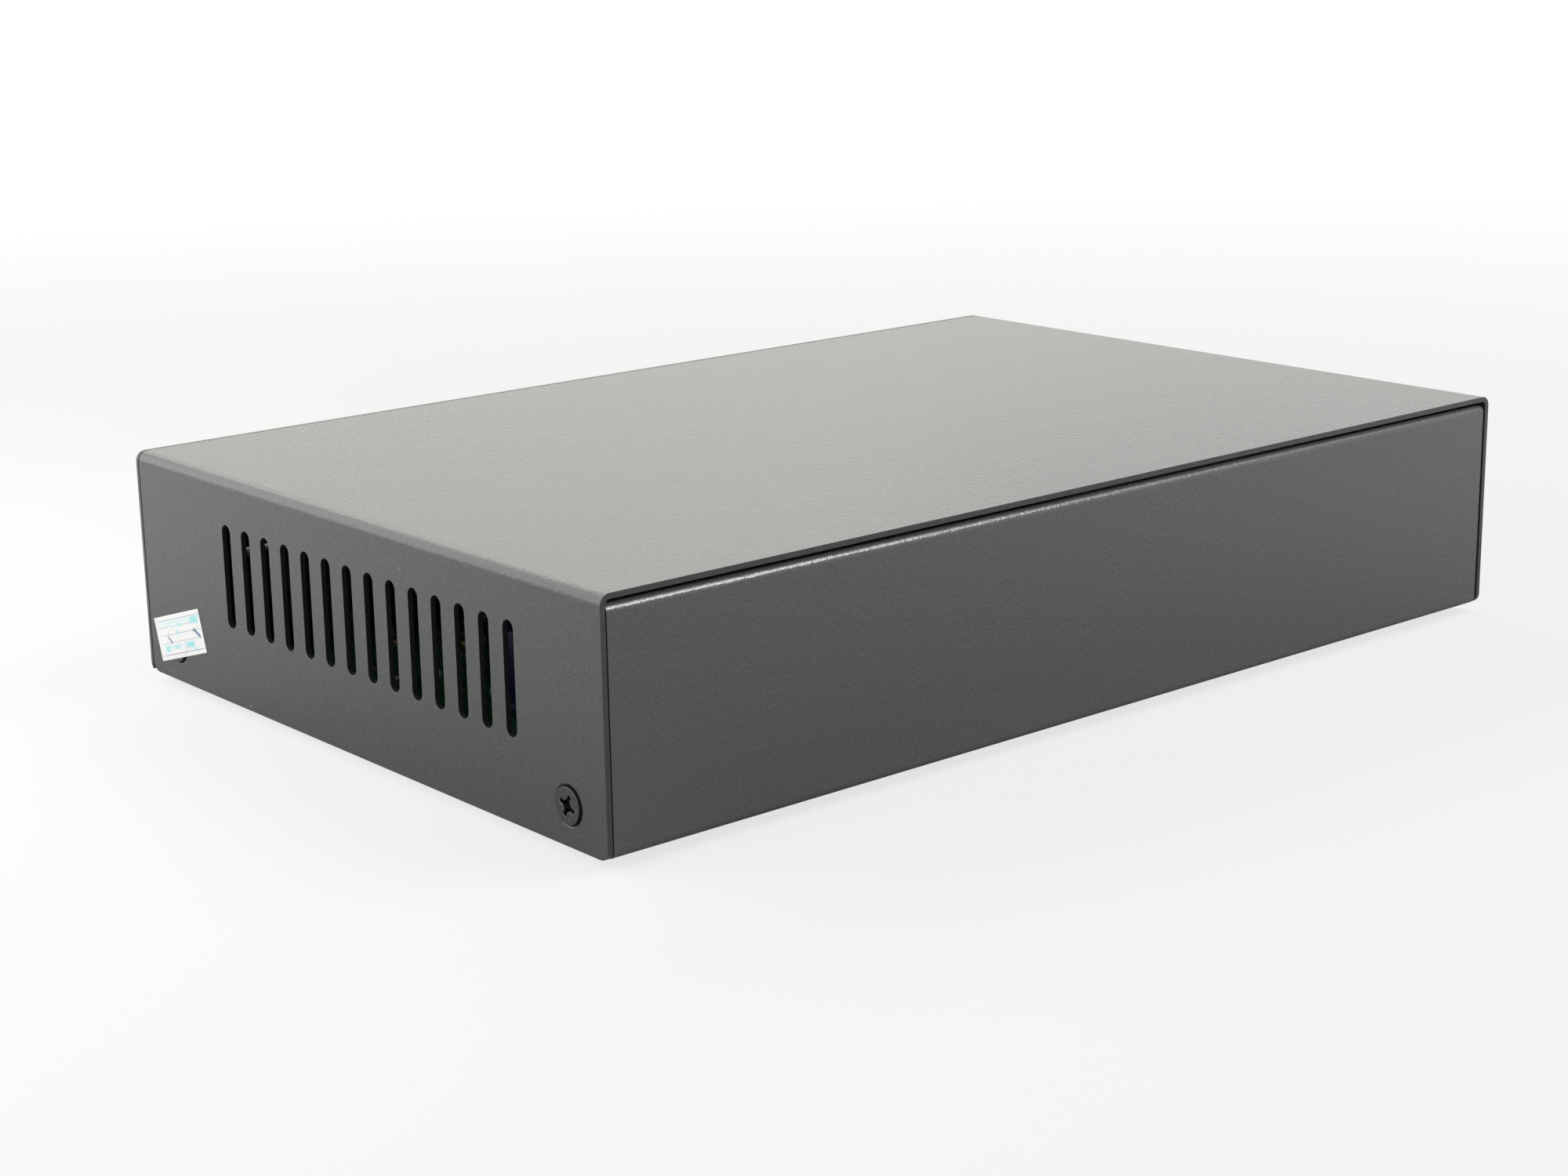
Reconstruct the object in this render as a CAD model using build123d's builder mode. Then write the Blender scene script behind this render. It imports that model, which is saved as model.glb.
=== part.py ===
from build123d import *
import os

os.makedirs("parts", exist_ok=True)

# Lengths are millimetres. The sockets face -Y, the bare rear panel faces +Y,
# and Z = 0 is the surface that the rubber feet stand on.

# Case
case_width = 228.0
case_depth = 150.0
case_height = 44.0  # without the feet
cover_steel = 1.0
cover_bend = 2.0  # outside radius of the cover's bends, and of its lower corners
tray_steel = 0.8
tray_bend = 1.5  # outside radius
side_gap = 0.38  # cover's side to the tray
top_gap = 0.8  # cover's underside to the rear lip
front_gap = 0.35  # face plate to the cover's front edge
rear_inset = 0.2  # rear panel behind the cover's rear edge
rear_lip = 9.0
flange_height = 13.0
bend_relief = 1.5  # notch at each end of a side flange

# Vent slots, the same row in both sides
slot_count = 14
slot_pitch = 7.0
slot_width = 3.0
slot_length = 20.0
slot_lift = 15.0  # above the cover's lower edge
slot_rear_margin = 25.3  # last slot's centre to the cover's rear edge

# Countersunk cover screws in formed dimples
screw_inset = 10.2  # from each end of the cover
screw_lift = 7.1  # above the cover's lower edge
screw_head = 6.4
screw_rim = 0.78  # straight edge of the head, so that a ring-shaped gap stays round it
screw_proud = 0.36  # head above the painted face
screw_thread = 3.0
screw_hole_gap = 0.25  # thread to the hole in the cover
screw_length = 6.2
screw_tip = 0.4
dimple_mouth = 0.25  # radius pressed round the dimple's mouth
dimple_flat = 1.0  # flat ring of sheet kept round the dimple
dimple_depth = 1.3  # dimple's underside below the sheet's inner face
seat_clearance = 0.05  # screw cone to dimple
nest_clearance = 0.15  # cover's dimple to the tray's
thread_clearance = 0.05
thread_boss_wall = 0.95
thread_boss_length = 2.2
recess_span = 3.9  # cross recess
recess_blade = 0.9
recess_core = 2.1  # where the blades flare into each other
recess_depth = 1.3
recess_turn = 22.0
recess_taper = 8.0
quarter_turn = 90.0

# Warranty seal over the front right screw
seal_width = 18.9
seal_height = 8.6
seal_thickness = 0.12
seal_turn = 17.0
seal_ahead = 1.6  # seal's middle behind the screw it covers
seal_above = 2.4
seal_crown = 0.4  # flat top's reach past the screw head
seal_skirt = 1.6  # slope's reach past the screw head

# Rubber feet
foot_diameter = 12.7
foot_top_diameter = 11.7
foot_height = 2.0
foot_inset_x = 20.0
foot_inset_y = 16.0
foot_edge = 0.5

# Main board on pressed standoffs
board_thickness = 1.6
board_side_gap = 8.6  # board's side edges to the tray's, clear of the screw tips
board_rear_gap = 20.0  # board's rear edge to the rear panel
board_setback = 1.0  # board's front edge to the face plate
board_corner = 1.5
standoff_height = 5.0
standoff_diameter = 5.6
standoff_neck = 4.2
standoff_inset = 5.0  # from the board's edges
standoff_columns = 2
standoff_rows = 3
pan_head = 5.6
pan_height = 1.9
pan_chamfer = 0.6
pan_length = 4.5
pan_recess_span = 3.2
pan_recess_core = 1.6
board_hole = 3.4

# Keyholes for hanging on two wall screws
keyhole_distance = 120.0
keyhole_head = 8.0
keyhole_neck = 4.2
keyhole_travel = 8.0
keyhole_y = 12.0

# Ganged RJ45 sockets
port_pitch = 13.97
gang_wall = 0.75  # added at each end of a gang
gang_height = 13.4
gang_depth = 22.0
gang_recess = 0.3  # shield's front behind the face plate
gang_cutout_gap = 0.4
gang_port_count = 4
uplink_port_count = 2
row_margin = 9.0  # first and last thing in the row to the board's side edges
shield_steel = 0.3
shield_window = 0.35  # shield's window round the plug opening
plug_width = 11.9
plug_height = 6.9
plug_depth = 13.0
plug_lift = 3.6  # opening's main floor above the board
latch_wide = 6.4
latch_wide_step = 1.5
latch_narrow = 3.4
latch_narrow_step = 1.1
latch_depth = 9.0
lens_width = 3.0
lens_height = 1.8
lens_lift = 11.0
lens_spread = 4.1  # lens middle from the port's middle
lens_depth = 8.0
lens_fit = 0.05
wire_count = 8
wire_pitch = 1.016
wire_width = 0.46
wire_thickness = 0.3
wire_nose = 2.4  # bend's distance behind the mouth
wire_nose_length = 0.9
wire_slope_depth = 7.6
wire_drop = 2.6
wire_wall_gap = 0.3  # wire's end to the cavity's back wall
peg_diameter = 3.2
peg_length = 2.6
peg_fit = 0.1
peg_setback = 15.0
spring_length = 3.0
spring_width = 4.0
spring_rise = 0.3
spring_setback = 1.6

# Low-voltage power socket
power_width = 9.0
power_height = 11.0
power_depth = 14.0
power_axis_lift = 6.5
power_collar = 8.4
power_bore = 6.4
power_bore_depth = 10.0
power_pin = 2.1
power_pin_length = 9.2
power_pin_round = 0.7
power_hole_gap = 0.4
power_face_gap = 0.3
power_recess = 0.2
power_leaf_width = 2.4
power_leaf_thickness = 0.3
power_leaf_foot = 3.2  # flat stretch at the inner end
power_leaf_bow = 4.6
power_leaf_rise = 0.6
power_groove_fit = 0.1

# Indicator light pipes beside the first gang
pipe_diameter = 3.0
pipe_lift = 8.0  # axis above the board
pipe_run = 8.5
pipe_hole_gap = 0.2
led_width = 3.5
led_depth = 2.8
led_height = 1.1
led_gap = 0.2

# Parts on the board
chip_chamfer = 0.15
switch_chip_size = 17.0
switch_chip_height = 1.4
pad_thickness = 0.6
sink_width = 32.0
sink_depth = 32.0
sink_base = 2.2
sink_height = 12.0
sink_fins = 9
sink_fin = 1.1
magnetics_width = 15.2
magnetics_depth = 7.4
magnetics_height = 5.9
controller_size = 9.0
controller_height = 1.2
capacitor_diameter = 10.0
capacitor_height = 16.0
capacitor_groove = 0.5
capacitor_groove_lift = 2.0
capacitor_gap = 3.0
coil_size = 12.0
coil_height = 7.0
coil_corner = 1.6
coil_drum = 8.6  # round core inside the square one
coil_gap = 0.5  # ring between the two cores
coil_gap_depth = 0.6
regulator_width = 10.0
regulator_depth = 9.0
regulator_height = 4.5
flash_size = 5.3
flash_height = 1.9
crystal_width = 11.0
crystal_depth = 4.7
crystal_height = 3.6
crystal_rim = 0.4  # flange's reach and thickness
crystal_round = 0.6
part_gap = 5.0  # between rows of parts

# Places worked out from the sizes above
tray_floor = foot_height
case_top = tray_floor + case_height
front_y = -case_depth / 2
rear_y = case_depth / 2
cover_front_y = front_y + tray_steel + front_gap
rear_panel_y = rear_y - rear_inset
tray_half = case_width / 2 - cover_steel - side_gap
lip_top = case_top - cover_steel - top_gap
floor_top = tray_floor + tray_steel
board_bottom = floor_top + standoff_height
board_top = board_bottom + board_thickness
board_front_y = front_y + tray_steel + board_setback
board_rear_y = rear_panel_y - tray_steel - board_rear_gap
board_depth = board_rear_y - board_front_y
board_width = 2 * (tray_half - board_side_gap)
board_y = (board_front_y + board_rear_y) / 2
gang_front_y = front_y + gang_recess
gang_rear_y = gang_front_y + gang_depth
housing_front_y = gang_front_y + shield_steel
housing_top = board_top + gang_height - shield_steel


def gang_width(ports):
    return ports * port_pitch + 2 * gang_wall


# The row along the face plate spreads over the board. Each entry is a thing's name, its width
# and the share of the free length that follows it.
row = (
    ("power_socket", power_width, 3.0),
    ("activity_pipe", pipe_diameter, 1.5),
    ("power_pipe", pipe_diameter, 2.5),
    ("left_ports", gang_width(gang_port_count), 1.0),
    ("right_ports", gang_width(gang_port_count), 2.0),
    ("uplink_ports", gang_width(uplink_port_count), 0.0),
)
free_length = board_width - 2 * row_margin - sum(width for _, width, _ in row)
share = free_length / sum(part for _, _, part in row)
row_x = {}
edge_x = -board_width / 2 + row_margin
for name, width, part in row:
    row_x[name] = edge_x + width / 2
    edge_x += width + part * share
gangs = {
    "left_ports": (gang_port_count, row_x["left_ports"]),
    "right_ports": (gang_port_count, row_x["right_ports"]),
    "uplink_ports": (uplink_port_count, row_x["uplink_ports"]),
}
power_x = row_x["power_socket"]
power_z = board_top + power_axis_lift
pipe_z = board_top + pipe_lift
pipe_x = {"power": row_x["power_pipe"], "activity": row_x["activity_pipe"]}

board_holes = GridLocations(
    (board_width - 2 * standoff_inset) / (standoff_columns - 1),
    (board_depth - 2 * standoff_inset) / (standoff_rows - 1),
    standoff_columns,
    standoff_rows,
)
board_hole_places = [(place.position.X, place.position.Y + board_y) for place in board_holes]
peg_places = [
    (x + side * (gang_width(ports) / 2 - port_pitch / 2), gang_front_y + peg_setback)
    for ports, x in gangs.values()
    for side in (-1, 1)
]
cover_ends = (cover_front_y + screw_inset, rear_y - screw_inset)
screw_seats = [
    Plane((side * case_width / 2, y, tray_floor + screw_lift), x_dir=(0, 1, 0), z_dir=(-side, 0, 0))
    for side in (1, -1)
    for y in cover_ends
]
sealed_seat = screw_seats[0]


def save(part, name):
    part.label = name
    export_step(part, f"parts/{name}.step")


# Depths in the dimples are measured inwards from the cover's painted face.
# A 45 degree cone of radius r at depth d keeps r + d constant.
cone_start = screw_rim - screw_proud
head_cone = screw_head / 2 + cone_start
seat_cone = head_cone + seat_clearance * 2**0.5
cover_back_cone = seat_cone + cover_steel * 2**0.5
cover_dimple_end = cover_steel + dimple_depth
tray_front = cover_steel + side_gap
tray_back = tray_front + tray_steel
tray_cone = cover_back_cone + nest_clearance * 2**0.5
tray_back_cone = tray_cone + tray_steel * 2**0.5
tray_seat = cover_dimple_end + nest_clearance
screw_hole = screw_thread / 2 + screw_hole_gap
thread_hole = screw_thread / 2 + thread_clearance
boss_radius = thread_hole + thread_boss_wall
ring_radius = tray_back_cone - tray_back + dimple_flat

with BuildPart() as cover_dimple:
    with BuildSketch(Plane.XZ) as section:
        with BuildLine():
            Polyline(
                (ring_radius, 0),
                (seat_cone, 0),
                (screw_hole, seat_cone - screw_hole),
                (screw_hole, cover_dimple_end),
                (cover_back_cone - cover_dimple_end, cover_dimple_end),
                (cover_back_cone - cover_steel, cover_steel),
                (ring_radius, cover_steel),
                close=True,
            )
        make_face()
        mouth = section.vertices().sort_by_distance((seat_cone, 0))[0]
        fillet(mouth, dimple_mouth)
    revolve(axis=Axis.Z)

with BuildPart() as tray_dimple:
    with BuildSketch(Plane.XZ):
        with BuildLine():
            Polyline(
                (ring_radius, tray_front),
                (tray_cone - tray_front, tray_front),
                (tray_cone - tray_seat, tray_seat),
                (thread_hole, tray_seat),
                (thread_hole, tray_seat + thread_boss_length),
                (boss_radius, tray_seat + thread_boss_length),
                (boss_radius, tray_back_cone - boss_radius),
                (tray_back_cone - tray_back, tray_back),
                (ring_radius, tray_back),
                close=True,
            )
        make_face()
    revolve(axis=Axis.Z)

# Top cover: one sheet folded down at both sides
with BuildPart() as top_cover:
    with BuildSketch(Plane.XZ.offset(-rear_y)):
        with BuildLine():
            FilletPolyline(
                (-case_width / 2, tray_floor),
                (-case_width / 2, case_top),
                (case_width / 2, case_top),
                (case_width / 2, tray_floor),
                radius=cover_bend,
            )
            offset(amount=cover_steel, side=Side.RIGHT)
        make_face()
    extrude(amount=rear_y - cover_front_y)
    lower_corners = top_cover.edges().filter_by(Axis.X).group_by(Axis.Z)[0]
    fillet(lower_corners, cover_bend)
    last_slot_y = rear_y - slot_rear_margin
    with BuildSketch(Plane.YZ):
        with Locations(
            (last_slot_y - slot_pitch * (slot_count - 1) / 2, tray_floor + slot_lift + slot_length / 2)
        ):
            with GridLocations(slot_pitch, slot_length, slot_count, 1):
                SlotOverall(slot_length, slot_width, rotation=90)
    extrude(amount=case_width / 2, both=True, mode=Mode.SUBTRACT)
    with Locations(*screw_seats):
        Cylinder(
            ring_radius,
            cover_steel,
            align=(Align.CENTER, Align.CENTER, Align.MIN),
            mode=Mode.SUBTRACT,
        )
        add(cover_dimple.part)
save(top_cover.part, "top_cover")

# Base tray: floor, face plate, rear panel with its lip, and two side flanges in one folded sheet
with BuildPart() as base_tray:
    with BuildSketch(Plane.YZ):
        with BuildLine():
            FilletPolyline(
                (front_y, case_top),
                (front_y, tray_floor),
                (rear_panel_y, tray_floor),
                (rear_panel_y, lip_top),
                (rear_panel_y - rear_lip, lip_top),
                radius=tray_bend,
            )
            offset(amount=tray_steel, side=Side.LEFT)
        make_face()
    extrude(amount=case_width / 2, both=True)
    plate_corners = base_tray.edges().filter_by(Axis.Y).group_by(Axis.Z)[-1]
    fillet(plate_corners, cover_bend)

    # Behind the face plate the sheet narrows to fit inside the cover
    narrow_from = front_y + tray_steel
    with BuildSketch(Plane.XY.offset(tray_floor)):
        for side in (-1, 1):
            with Locations((side * tray_half, narrow_from)):
                Rectangle(
                    case_width,
                    case_depth,
                    align=(Align.MIN if side > 0 else Align.MAX, Align.MIN),
                )
    extrude(amount=case_height, mode=Mode.SUBTRACT)
    flange_zone_front = front_y + tray_bend
    flange_zone_rear = rear_panel_y - tray_bend
    with BuildSketch(Plane.XY.offset(tray_floor)):
        for side in (-1, 1):
            with Locations((side * (tray_half - tray_bend), (flange_zone_front + flange_zone_rear) / 2)):
                Rectangle(
                    2 * tray_bend,
                    flange_zone_rear - flange_zone_front,
                    align=(Align.MIN if side > 0 else Align.MAX, Align.CENTER),
                )
    extrude(amount=tray_steel, mode=Mode.SUBTRACT)
    flange_top = tray_floor + flange_height
    with BuildSketch(Plane.XZ.offset(-(flange_zone_rear - bend_relief))):
        with BuildLine():
            FilletPolyline(
                (-tray_half, flange_top),
                (-tray_half, tray_floor),
                (tray_half, tray_floor),
                (tray_half, flange_top),
                radius=tray_bend,
            )
            offset(amount=tray_steel, side=Side.LEFT)
        make_face()
    extrude(amount=flange_zone_rear - flange_zone_front - 2 * bend_relief)

    with Locations(*[seat.offset(tray_front) for seat in screw_seats]):
        Cylinder(
            ring_radius,
            tray_steel,
            align=(Align.CENTER, Align.CENTER, Align.MIN),
            mode=Mode.SUBTRACT,
        )
    with Locations(*screw_seats):
        add(tray_dimple.part)

    # Openings in the face plate
    with BuildSketch(Plane.XZ.offset(-front_y)):
        for ports, x in gangs.values():
            with Locations((x, board_top + gang_height / 2)):
                Rectangle(gang_width(ports) + 2 * gang_cutout_gap, gang_height + 2 * gang_cutout_gap)
        with Locations((power_x, power_z)):
            Circle(power_collar / 2 + power_hole_gap)
        with Locations(*[(x, pipe_z) for x in pipe_x.values()]):
            Circle(pipe_diameter / 2 + pipe_hole_gap)
    extrude(amount=-tray_steel, mode=Mode.SUBTRACT)

    # Standoff holes and keyholes in the floor
    with BuildSketch(Plane.XY.offset(tray_floor)):
        with Locations(*board_hole_places):
            Circle(standoff_neck / 2)
        with Locations((0, keyhole_y)):
            with GridLocations(keyhole_distance, keyhole_distance, 2, 1):
                Circle(keyhole_head / 2)
                SlotCenterPoint((0, keyhole_travel / 2), (0, keyhole_travel), keyhole_neck)
    extrude(amount=tray_steel, mode=Mode.SUBTRACT)
save(base_tray.part, "base_tray")

# Cover screws: countersunk heads with a tapered cross recess
with BuildPart() as cover_screw:
    with BuildSketch(Plane.XZ):
        with BuildLine():
            Polyline(
                (0, -screw_proud),
                (screw_head / 2, -screw_proud),
                (screw_head / 2, cone_start),
                (screw_thread / 2, head_cone - screw_thread / 2),
                (screw_thread / 2, screw_length - screw_proud - screw_tip),
                (screw_thread / 2 - screw_tip, screw_length - screw_proud),
                (0, screw_length - screw_proud),
                close=True,
            )
        make_face()
    revolve(axis=Axis.Z)
    with BuildSketch(Plane.XY.offset(-screw_proud)):
        for turn in (recess_turn, recess_turn + quarter_turn):
            Rectangle(recess_span, recess_blade, rotation=turn)
        Circle(recess_core / 2)
    extrude(amount=recess_depth, taper=recess_taper, mode=Mode.SUBTRACT)

with BuildPart() as cover_screws:
    with Locations(*screw_seats):
        add(cover_screw.part)
save(cover_screws.part, "cover_screws")

# Warranty seal: thin paper that rises over the screw head it covers
seal_plane = Plane(
    (case_width / 2, cover_ends[0] + seal_ahead, tray_floor + screw_lift + seal_above),
    x_dir=(0, 1, 0),
    z_dir=(1, 0, 0),
)
bump_foot = screw_head / 2 + seal_skirt
bump_top = screw_head / 2 + seal_crown
with BuildPart() as warranty_seal:
    with BuildSketch(seal_plane):
        Rectangle(seal_width, seal_height, rotation=seal_turn)
    extrude(amount=seal_thickness)
    with BuildSketch(sealed_seat):
        Circle(bump_foot + seal_thickness)
    with BuildSketch(sealed_seat.offset(-screw_proud - seal_thickness)):
        Circle(bump_top + seal_thickness)
    loft()
    with BuildSketch(sealed_seat):
        Circle(bump_foot)
    with BuildSketch(sealed_seat.offset(-screw_proud)):
        Circle(bump_top)
    loft(mode=Mode.SUBTRACT)
    with BuildSketch(seal_plane):
        Rectangle(seal_width, seal_height, rotation=seal_turn)
    extrude(amount=screw_proud + seal_thickness, mode=Mode.INTERSECT)
save(warranty_seal.part, "warranty_seal")

# Rubber feet stuck under the tray
with BuildPart() as foot:
    with BuildSketch():
        Circle(foot_top_diameter / 2)
    with BuildSketch(Plane.XY.offset(foot_height)):
        Circle(foot_diameter / 2)
    loft()
    chamfer(foot.edges().group_by(Axis.Z)[0], foot_edge)

for fore_name, y in (("front", front_y + foot_inset_y), ("rear", rear_y - foot_inset_y)):
    for side_name, x in (("left", -case_width / 2 + foot_inset_x), ("right", case_width / 2 - foot_inset_x)):
        with BuildPart() as placed_foot:
            with Locations((x, y)):
                add(foot.part)
        save(placed_foot.part, f"{fore_name}_{side_name}_foot")

# Standoffs pressed into the floor, and the pan head screws that hold the board to them
with BuildPart() as pcb_standoffs:
    with BuildSketch(Plane.XY.offset(floor_top)):
        with Locations(*board_hole_places):
            RegularPolygon(standoff_diameter / 2, 6)
    extrude(amount=standoff_height)
    with BuildSketch(Plane.XY.offset(tray_floor)):
        with Locations(*board_hole_places):
            Circle(standoff_neck / 2)
    extrude(amount=tray_steel)
    with BuildSketch(Plane.XY.offset(board_bottom)):
        with Locations(*board_hole_places):
            Circle(thread_hole)
    extrude(amount=-standoff_height, mode=Mode.SUBTRACT)
save(pcb_standoffs.part, "pcb_standoffs")

with BuildPart() as pan_screw:
    with BuildSketch(Plane.XZ):
        with BuildLine():
            Polyline(
                (0, board_top + pan_height),
                (pan_head / 2 - pan_chamfer, board_top + pan_height),
                (pan_head / 2, board_top + pan_height - pan_chamfer),
                (pan_head / 2, board_top),
                (screw_thread / 2, board_top),
                (screw_thread / 2, board_top - pan_length),
                (0, board_top - pan_length),
                close=True,
            )
        make_face()
    revolve(axis=Axis.Z)
    with BuildSketch(Plane.XY.offset(board_top + pan_height)):
        for turn in (0, quarter_turn):
            Rectangle(pan_recess_span, recess_blade, rotation=turn)
        Circle(pan_recess_core / 2)
    extrude(amount=-recess_depth, taper=recess_taper, mode=Mode.SUBTRACT)

with BuildPart() as pcb_screws:
    with Locations(*board_hole_places):
        add(pan_screw.part)
save(pcb_screws.part, "pcb_screws")

# Main board
with BuildPart() as main_board:
    with BuildSketch(Plane.XY.offset(board_bottom)):
        with Locations((0, board_y)):
            RectangleRounded(board_width, board_depth, board_corner)
        with Locations(*board_hole_places):
            Circle(board_hole / 2, mode=Mode.SUBTRACT)
        with Locations(*peg_places):
            Circle(peg_diameter / 2 + peg_fit, mode=Mode.SUBTRACT)
    extrude(amount=board_thickness)
save(main_board.part, "main_board")


# Sockets. Each gang is a moulded housing with keyed cavities, a folded shield with spring
# bumps, eight sprung wires to a port, and two lenses to a port.
def port_centres(ports):
    return [(n - (ports - 1) / 2) * port_pitch for n in range(ports)]


ceiling = board_top + plug_lift + plug_height
cavity_back_y = housing_front_y + plug_depth
nose_y = housing_front_y + wire_nose

with BuildPart() as wire:
    with BuildSketch(Plane.YZ):
        with BuildLine():
            Polyline(
                (cavity_back_y - wire_wall_gap, ceiling),
                (nose_y, ceiling),
                (nose_y + wire_slope_depth, ceiling - wire_drop),
                (nose_y + wire_slope_depth + wire_thickness, ceiling - wire_drop),
                (nose_y + wire_nose_length, ceiling - wire_thickness),
                (cavity_back_y - wire_wall_gap, ceiling - wire_thickness),
                close=True,
            )
        make_face()
    extrude(amount=wire_width / 2, both=True)

for gang_name, (ports, gang_x) in gangs.items():
    port_xs = [gang_x + offset_x for offset_x in port_centres(ports)]
    lens_xs = [x + side * lens_spread for x in port_xs for side in (-1, 1)]
    plug_floor = board_top + plug_lift
    step_floor = plug_floor - latch_wide_step
    lens_bottom = board_top + lens_lift
    inner_width = gang_width(ports) - 2 * shield_steel
    inner_rear_y = gang_rear_y - shield_steel

    with BuildPart() as housing:
        with BuildSketch(Plane.XZ.offset(-housing_front_y)):
            with Locations((gang_x, board_top)):
                Rectangle(inner_width, housing_top - board_top, align=(Align.CENTER, Align.MIN))
        extrude(amount=housing_front_y - inner_rear_y)
        with BuildSketch(Plane.XZ.offset(-housing_front_y)):
            with Locations(*[(x, plug_floor) for x in port_xs]):
                Rectangle(plug_width, plug_height, align=(Align.CENTER, Align.MIN))
        extrude(amount=-plug_depth, mode=Mode.SUBTRACT)
        with BuildSketch(Plane.XZ.offset(-housing_front_y)):
            with Locations(*[(x, plug_floor) for x in port_xs]):
                Rectangle(latch_wide, latch_wide_step, align=(Align.CENTER, Align.MAX))
            with Locations(*[(x, step_floor) for x in port_xs]):
                Rectangle(latch_narrow, latch_narrow_step, align=(Align.CENTER, Align.MAX))
        extrude(amount=-latch_depth, mode=Mode.SUBTRACT)
        with BuildSketch(Plane.XZ.offset(-housing_front_y)):
            with Locations(*[(x, lens_bottom) for x in lens_xs]):
                Rectangle(lens_width, lens_height, align=(Align.CENTER, Align.MIN))
        extrude(amount=-lens_depth, mode=Mode.SUBTRACT)
        with BuildSketch(Plane.XY.offset(board_top)):
            with Locations(*[place for place in peg_places if abs(place[0] - gang_x) < inner_width / 2]):
                Circle(peg_diameter / 2)
        extrude(amount=-peg_length)
    save(housing.part, f"{gang_name}_housing")

    with BuildPart() as shield:
        with BuildSketch(Plane.XZ.offset(-gang_front_y)):
            with Locations((gang_x, board_top)):
                Rectangle(gang_width(ports), gang_height, align=(Align.CENTER, Align.MIN))
        extrude(amount=-gang_depth)
        with BuildSketch(Plane.XZ.offset(-housing_front_y)):
            with Locations((gang_x, board_top)):
                Rectangle(inner_width, housing_top - board_top, align=(Align.CENTER, Align.MIN))
        extrude(amount=housing_front_y - inner_rear_y, mode=Mode.SUBTRACT)
        with BuildSketch(Plane.XZ.offset(-gang_front_y)):
            with Locations(*[(x, plug_floor) for x in port_xs]):
                Rectangle(
                    plug_width + 2 * shield_window,
                    plug_height + shield_window,
                    align=(Align.CENTER, Align.MIN),
                )
                Rectangle(
                    latch_wide + 2 * shield_window,
                    plug_lift - shield_steel,
                    align=(Align.CENTER, Align.MAX),
                )
            with Locations(*[(x, lens_bottom) for x in lens_xs]):
                Rectangle(lens_width, lens_height, align=(Align.CENTER, Align.MIN))
        extrude(amount=-shield_steel, mode=Mode.SUBTRACT)
        for x in port_xs:
            with BuildSketch(Plane.YZ.offset(x)):
                with Locations((gang_front_y + spring_setback, board_top + gang_height)):
                    Triangle(a=spring_length, b=spring_rise, C=90, align=(Align.MIN, Align.MIN))
            extrude(amount=spring_width / 2, both=True)
    save(shield.part, f"{gang_name}_shield")

    with BuildPart() as wires:
        with Locations(*[(x, 0) for x in port_xs]):
            with GridLocations(wire_pitch, wire_pitch, wire_count, 1):
                add(wire.part)
    save(wires.part, f"{gang_name}_wires")

    with BuildPart() as lenses:
        with BuildSketch(Plane.XZ.offset(-gang_front_y)):
            with Locations(*[(x, lens_bottom + lens_height / 2) for x in lens_xs]):
                Rectangle(lens_width - 2 * lens_fit, lens_height - 2 * lens_fit)
        extrude(amount=-lens_depth)
    save(lenses.part, f"{gang_name}_lenses")

# Power socket
socket_face_y = front_y + tray_steel + power_face_gap
bore_end_y = front_y + power_recess + power_bore_depth
groove_floor = power_z - power_bore / 2 - power_leaf_rise - power_leaf_thickness
with BuildPart() as power_socket_body:
    with BuildSketch(Plane.XZ.offset(-socket_face_y)):
        with Locations((power_x, board_top)):
            Rectangle(power_width, power_height, align=(Align.CENTER, Align.MIN))
    extrude(amount=-power_depth)
    with BuildSketch(Plane.XZ.offset(-(front_y + power_recess))):
        with Locations((power_x, power_z)):
            Circle(power_collar / 2)
    extrude(amount=-(socket_face_y - front_y - power_recess))
    with BuildSketch(Plane.XZ.offset(-(front_y + power_recess))):
        with Locations((power_x, power_z)):
            Circle(power_bore / 2)
    extrude(amount=-power_bore_depth, mode=Mode.SUBTRACT)
    with BuildSketch(Plane.XZ.offset(-socket_face_y)):
        with Locations((power_x, groove_floor)):
            Rectangle(
                power_leaf_width + 2 * power_groove_fit,
                power_bore / 2,
                align=(Align.CENTER, Align.MIN),
            )
    extrude(amount=-(bore_end_y - socket_face_y), mode=Mode.SUBTRACT)
save(power_socket_body.part, "power_socket_body")

with BuildPart() as power_socket_pin:
    with BuildSketch(Plane.XZ.offset(-bore_end_y)):
        with Locations((power_x, power_z)):
            Circle(power_pin / 2)
    extrude(amount=power_pin_length)
    fillet(power_socket_pin.edges().group_by(Axis.Y)[0], power_pin_round)
save(power_socket_pin.part, "power_socket_pin")

with BuildPart() as power_socket_leaf:
    bow_start = bore_end_y - power_leaf_foot
    with BuildSketch(Plane.YZ.offset(power_x - power_leaf_width / 2)):
        with BuildLine():
            Polyline(
                (bore_end_y, groove_floor),
                (bow_start, groove_floor),
                (bow_start - power_leaf_bow / 2, groove_floor + power_leaf_rise),
                (bow_start - power_leaf_bow, groove_floor),
            )
            offset(amount=power_leaf_thickness, side=Side.RIGHT)
        make_face()
    extrude(amount=power_leaf_width)
save(power_socket_leaf.part, "power_socket_leaf")

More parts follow.
